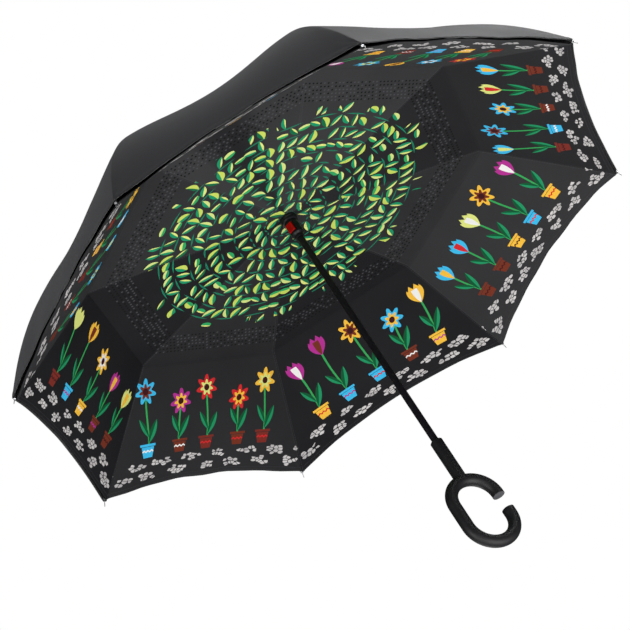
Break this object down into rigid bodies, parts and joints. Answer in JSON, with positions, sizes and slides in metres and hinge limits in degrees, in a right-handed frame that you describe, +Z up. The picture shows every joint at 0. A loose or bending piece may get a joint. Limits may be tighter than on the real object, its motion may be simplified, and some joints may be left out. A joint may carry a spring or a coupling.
{
  "type": "inverted umbrella",
  "caption": "Open inverse-folding umbrella with a dark outer canopy, a printed inner canopy, a straight shaft, a sliding runner with a red button and a C-shaped handle.",
  "frame": {"origin": "shaft axis at the middle of the handle's socket, where the hand grips", "axes": "+Z up the shaft to the canopy's cap, +X to the side on which the C handle is open"},
  "size_m": [1.048, 1.048, 0.8182],
  "materials": {
    "black_steel": "satin black lacquer",
    "grip": "matte soft-touch coating",
    "black_plastic": "satin moulded",
    "bright_steel": "plain bright",
    "red_plastic": "smooth semi-gloss",
    "fibreglass": "smooth dark grey",
    "charcoal_cloth": "satin pongee weave",
    "printed_cloth": "matte pongee with printed pattern"
  },
  "bodies": {
    "frame": {"shaft": "black_steel", "handle": "grip", "notch": "black_plastic", "notch_wire": "bright_steel", "top_cap": "black_plastic", "outer_canopy": "charcoal_cloth", "inner_canopy": "printed_cloth"},
    "runner": {"runner": "black_plastic", "runner_collar": "black_plastic"},
    "button": {"release_button": "red_plastic"},
    "upper_arm_1": {"upper_arm_1": "black_steel"},
    "rib_1": {"elbow_1": "black_plastic", "rib_rod_1": "fibreglass", "rib_tip_1": "bright_steel", "elbow_rivet_1": "bright_steel"},
    "lower_arm_1": {"lower_arm_1": "black_steel"},
    "upper_arm_2": {"upper_arm_2": "black_steel"},
    "rib_2": {"elbow_2": "black_plastic", "rib_rod_2": "fibreglass", "rib_tip_2": "bright_steel", "elbow_rivet_2": "bright_steel"},
    "lower_arm_2": {"lower_arm_2": "black_steel"},
    "upper_arm_3": {"upper_arm_3": "black_steel"},
    "rib_3": {"elbow_3": "black_plastic", "rib_rod_3": "fibreglass", "rib_tip_3": "bright_steel", "elbow_rivet_3": "bright_steel"},
    "lower_arm_3": {"lower_arm_3": "black_steel"},
    "upper_arm_4": {"upper_arm_4": "black_steel"},
    "rib_4": {"elbow_4": "black_plastic", "rib_rod_4": "fibreglass", "rib_tip_4": "bright_steel", "elbow_rivet_4": "bright_steel"},
    "lower_arm_4": {"lower_arm_4": "black_steel"},
    "upper_arm_5": {"upper_arm_5": "black_steel"},
    "rib_5": {"elbow_5": "black_plastic", "rib_rod_5": "fibreglass", "rib_tip_5": "bright_steel", "elbow_rivet_5": "bright_steel"},
    "lower_arm_5": {"lower_arm_5": "black_steel"},
    "upper_arm_6": {"upper_arm_6": "black_steel"},
    "rib_6": {"elbow_6": "black_plastic", "rib_rod_6": "fibreglass", "rib_tip_6": "bright_steel", "elbow_rivet_6": "bright_steel"},
    "lower_arm_6": {"lower_arm_6": "black_steel"},
    "upper_arm_7": {"upper_arm_7": "black_steel"},
    "rib_7": {"elbow_7": "black_plastic", "rib_rod_7": "fibreglass", "rib_tip_7": "bright_steel", "elbow_rivet_7": "bright_steel"},
    "lower_arm_7": {"lower_arm_7": "black_steel"},
    "upper_arm_8": {"upper_arm_8": "black_steel"},
    "rib_8": {"elbow_8": "black_plastic", "rib_rod_8": "fibreglass", "rib_tip_8": "bright_steel", "elbow_rivet_8": "bright_steel"},
    "lower_arm_8": {"lower_arm_8": "black_steel"}
  },
  "joints": [
    {"name": "runner_slide", "type": "slide", "parent": "frame", "child": "runner", "axis": [0, 0, 1], "range_m": [-0.3535, 0], "deforming": ["outer_canopy", "inner_canopy"]},
    {"name": "button_slide", "type": "slide", "parent": "runner", "child": "button", "axis": [0.866, 0.5, 0], "range_m": [0, 0.0014], "stiffness_N_per_m": 300},
    {"name": "notch_hinge_1", "type": "hinge", "parent": "frame", "child": "upper_arm_1", "pos_m": [0.01711, -0.00314, 0.633], "axis": [-0.1805, -0.9836, 0], "range_deg": [-72.23, 0]},
    {"name": "rib_hinge_1", "type": "hinge", "parent": "upper_arm_1", "child": "rib_1", "pos_m": [0.26753, -0.0491, 0.58], "axis": [-0.1805, -0.9836, 0], "range_deg": [0, 190.2]},
    {"name": "lower_hinge_1", "type": "hinge", "parent": "rib_1", "child": "lower_arm_1", "pos_m": [0.33441, -0.06138, 0.501], "axis": [-0.1805, -0.9836, 0], "range_deg": [-38.2, 0]},
    {"name": "notch_hinge_2", "type": "hinge", "parent": "frame", "child": "upper_arm_2", "pos_m": [0.01432, 0.00988, 0.633], "axis": [0.5678, -0.8231, 0], "range_deg": [-72.23, 0]},
    {"name": "rib_hinge_2", "type": "hinge", "parent": "upper_arm_2", "child": "rib_2", "pos_m": [0.22389, 0.15445, 0.58], "axis": [0.5678, -0.8231, 0], "range_deg": [0, 190.2]},
    {"name": "lower_hinge_2", "type": "hinge", "parent": "rib_2", "child": "lower_arm_2", "pos_m": [0.27987, 0.19307, 0.501], "axis": [0.5678, -0.8231, 0], "range_deg": [-38.2, 0]},
    {"name": "notch_hinge_3", "type": "hinge", "parent": "frame", "child": "upper_arm_3", "pos_m": [0.00314, 0.01711, 0.633], "axis": [0.9836, -0.1805, 0], "range_deg": [-72.23, 0]},
    {"name": "rib_hinge_3", "type": "hinge", "parent": "upper_arm_3", "child": "rib_3", "pos_m": [0.0491, 0.26753, 0.58], "axis": [0.9836, -0.1805, 0], "range_deg": [0, 190.2]},
    {"name": "lower_hinge_3", "type": "hinge", "parent": "rib_3", "child": "lower_arm_3", "pos_m": [0.06138, 0.33441, 0.501], "axis": [0.9836, -0.1805, 0], "range_deg": [-38.2, 0]},
    {"name": "notch_hinge_4", "type": "hinge", "parent": "frame", "child": "upper_arm_4", "pos_m": [-0.00988, 0.01432, 0.633], "axis": [0.8231, 0.5678, 0], "range_deg": [-72.23, 0]},
    {"name": "rib_hinge_4", "type": "hinge", "parent": "upper_arm_4", "child": "rib_4", "pos_m": [-0.15445, 0.22389, 0.58], "axis": [0.8231, 0.5678, 0], "range_deg": [0, 190.2]},
    {"name": "lower_hinge_4", "type": "hinge", "parent": "rib_4", "child": "lower_arm_4", "pos_m": [-0.19307, 0.27987, 0.501], "axis": [0.8231, 0.5678, 0], "range_deg": [-38.2, 0]},
    {"name": "notch_hinge_5", "type": "hinge", "parent": "frame", "child": "upper_arm_5", "pos_m": [-0.01711, 0.00314, 0.633], "axis": [0.1805, 0.9836, 0], "range_deg": [-72.23, 0]},
    {"name": "rib_hinge_5", "type": "hinge", "parent": "upper_arm_5", "child": "rib_5", "pos_m": [-0.26753, 0.0491, 0.58], "axis": [0.1805, 0.9836, 0], "range_deg": [0, 190.2]},
    {"name": "lower_hinge_5", "type": "hinge", "parent": "rib_5", "child": "lower_arm_5", "pos_m": [-0.33441, 0.06138, 0.501], "axis": [0.1805, 0.9836, 0], "range_deg": [-38.2, 0]},
    {"name": "notch_hinge_6", "type": "hinge", "parent": "frame", "child": "upper_arm_6", "pos_m": [-0.01432, -0.00988, 0.633], "axis": [-0.5678, 0.8231, 0], "range_deg": [-72.23, 0]},
    {"name": "rib_hinge_6", "type": "hinge", "parent": "upper_arm_6", "child": "rib_6", "pos_m": [-0.22389, -0.15445, 0.58], "axis": [-0.5678, 0.8231, 0], "range_deg": [0, 190.2]},
    {"name": "lower_hinge_6", "type": "hinge", "parent": "rib_6", "child": "lower_arm_6", "pos_m": [-0.27987, -0.19307, 0.501], "axis": [-0.5678, 0.8231, 0], "range_deg": [-38.2, 0]},
    {"name": "notch_hinge_7", "type": "hinge", "parent": "frame", "child": "upper_arm_7", "pos_m": [-0.00314, -0.01711, 0.633], "axis": [-0.9836, 0.1805, 0], "range_deg": [-72.23, 0]},
    {"name": "rib_hinge_7", "type": "hinge", "parent": "upper_arm_7", "child": "rib_7", "pos_m": [-0.0491, -0.26753, 0.58], "axis": [-0.9836, 0.1805, 0], "range_deg": [0, 190.2]},
    {"name": "lower_hinge_7", "type": "hinge", "parent": "rib_7", "child": "lower_arm_7", "pos_m": [-0.06138, -0.33441, 0.501], "axis": [-0.9836, 0.1805, 0], "range_deg": [-38.2, 0]},
    {"name": "notch_hinge_8", "type": "hinge", "parent": "frame", "child": "upper_arm_8", "pos_m": [0.00988, -0.01432, 0.633], "axis": [-0.8231, -0.5678, 0], "range_deg": [-72.23, 0]},
    {"name": "rib_hinge_8", "type": "hinge", "parent": "upper_arm_8", "child": "rib_8", "pos_m": [0.15445, -0.22389, 0.58], "axis": [-0.8231, -0.5678, 0], "range_deg": [0, 190.2]},
    {"name": "lower_hinge_8", "type": "hinge", "parent": "rib_8", "child": "lower_arm_8", "pos_m": [0.19307, -0.27987, 0.501], "axis": [-0.8231, -0.5678, 0], "range_deg": [-38.2, 0]}
  ],
  "couplings": [
    {"joint": "notch_hinge_1", "follows": "runner_slide", "rad_per_m": 3.5658},
    {"joint": "rib_hinge_1", "follows": "runner_slide", "rad_per_m": -9.3904},
    {"joint": "lower_hinge_1", "follows": "runner_slide", "rad_per_m": 1.8857},
    {"joint": "notch_hinge_2", "follows": "runner_slide", "rad_per_m": 3.5658},
    {"joint": "rib_hinge_2", "follows": "runner_slide", "rad_per_m": -9.3904},
    {"joint": "lower_hinge_2", "follows": "runner_slide", "rad_per_m": 1.8857},
    {"joint": "notch_hinge_3", "follows": "runner_slide", "rad_per_m": 3.5658},
    {"joint": "rib_hinge_3", "follows": "runner_slide", "rad_per_m": -9.3904},
    {"joint": "lower_hinge_3", "follows": "runner_slide", "rad_per_m": 1.8857},
    {"joint": "notch_hinge_4", "follows": "runner_slide", "rad_per_m": 3.5658},
    {"joint": "rib_hinge_4", "follows": "runner_slide", "rad_per_m": -9.3904},
    {"joint": "lower_hinge_4", "follows": "runner_slide", "rad_per_m": 1.8857},
    {"joint": "notch_hinge_5", "follows": "runner_slide", "rad_per_m": 3.5658},
    {"joint": "rib_hinge_5", "follows": "runner_slide", "rad_per_m": -9.3904},
    {"joint": "lower_hinge_5", "follows": "runner_slide", "rad_per_m": 1.8857},
    {"joint": "notch_hinge_6", "follows": "runner_slide", "rad_per_m": 3.5658},
    {"joint": "rib_hinge_6", "follows": "runner_slide", "rad_per_m": -9.3904},
    {"joint": "lower_hinge_6", "follows": "runner_slide", "rad_per_m": 1.8857},
    {"joint": "notch_hinge_7", "follows": "runner_slide", "rad_per_m": 3.5658},
    {"joint": "rib_hinge_7", "follows": "runner_slide", "rad_per_m": -9.3904},
    {"joint": "lower_hinge_7", "follows": "runner_slide", "rad_per_m": 1.8857},
    {"joint": "notch_hinge_8", "follows": "runner_slide", "rad_per_m": 3.5658},
    {"joint": "rib_hinge_8", "follows": "runner_slide", "rad_per_m": -9.3904},
    {"joint": "lower_hinge_8", "follows": "runner_slide", "rad_per_m": 1.8857}
  ]
}
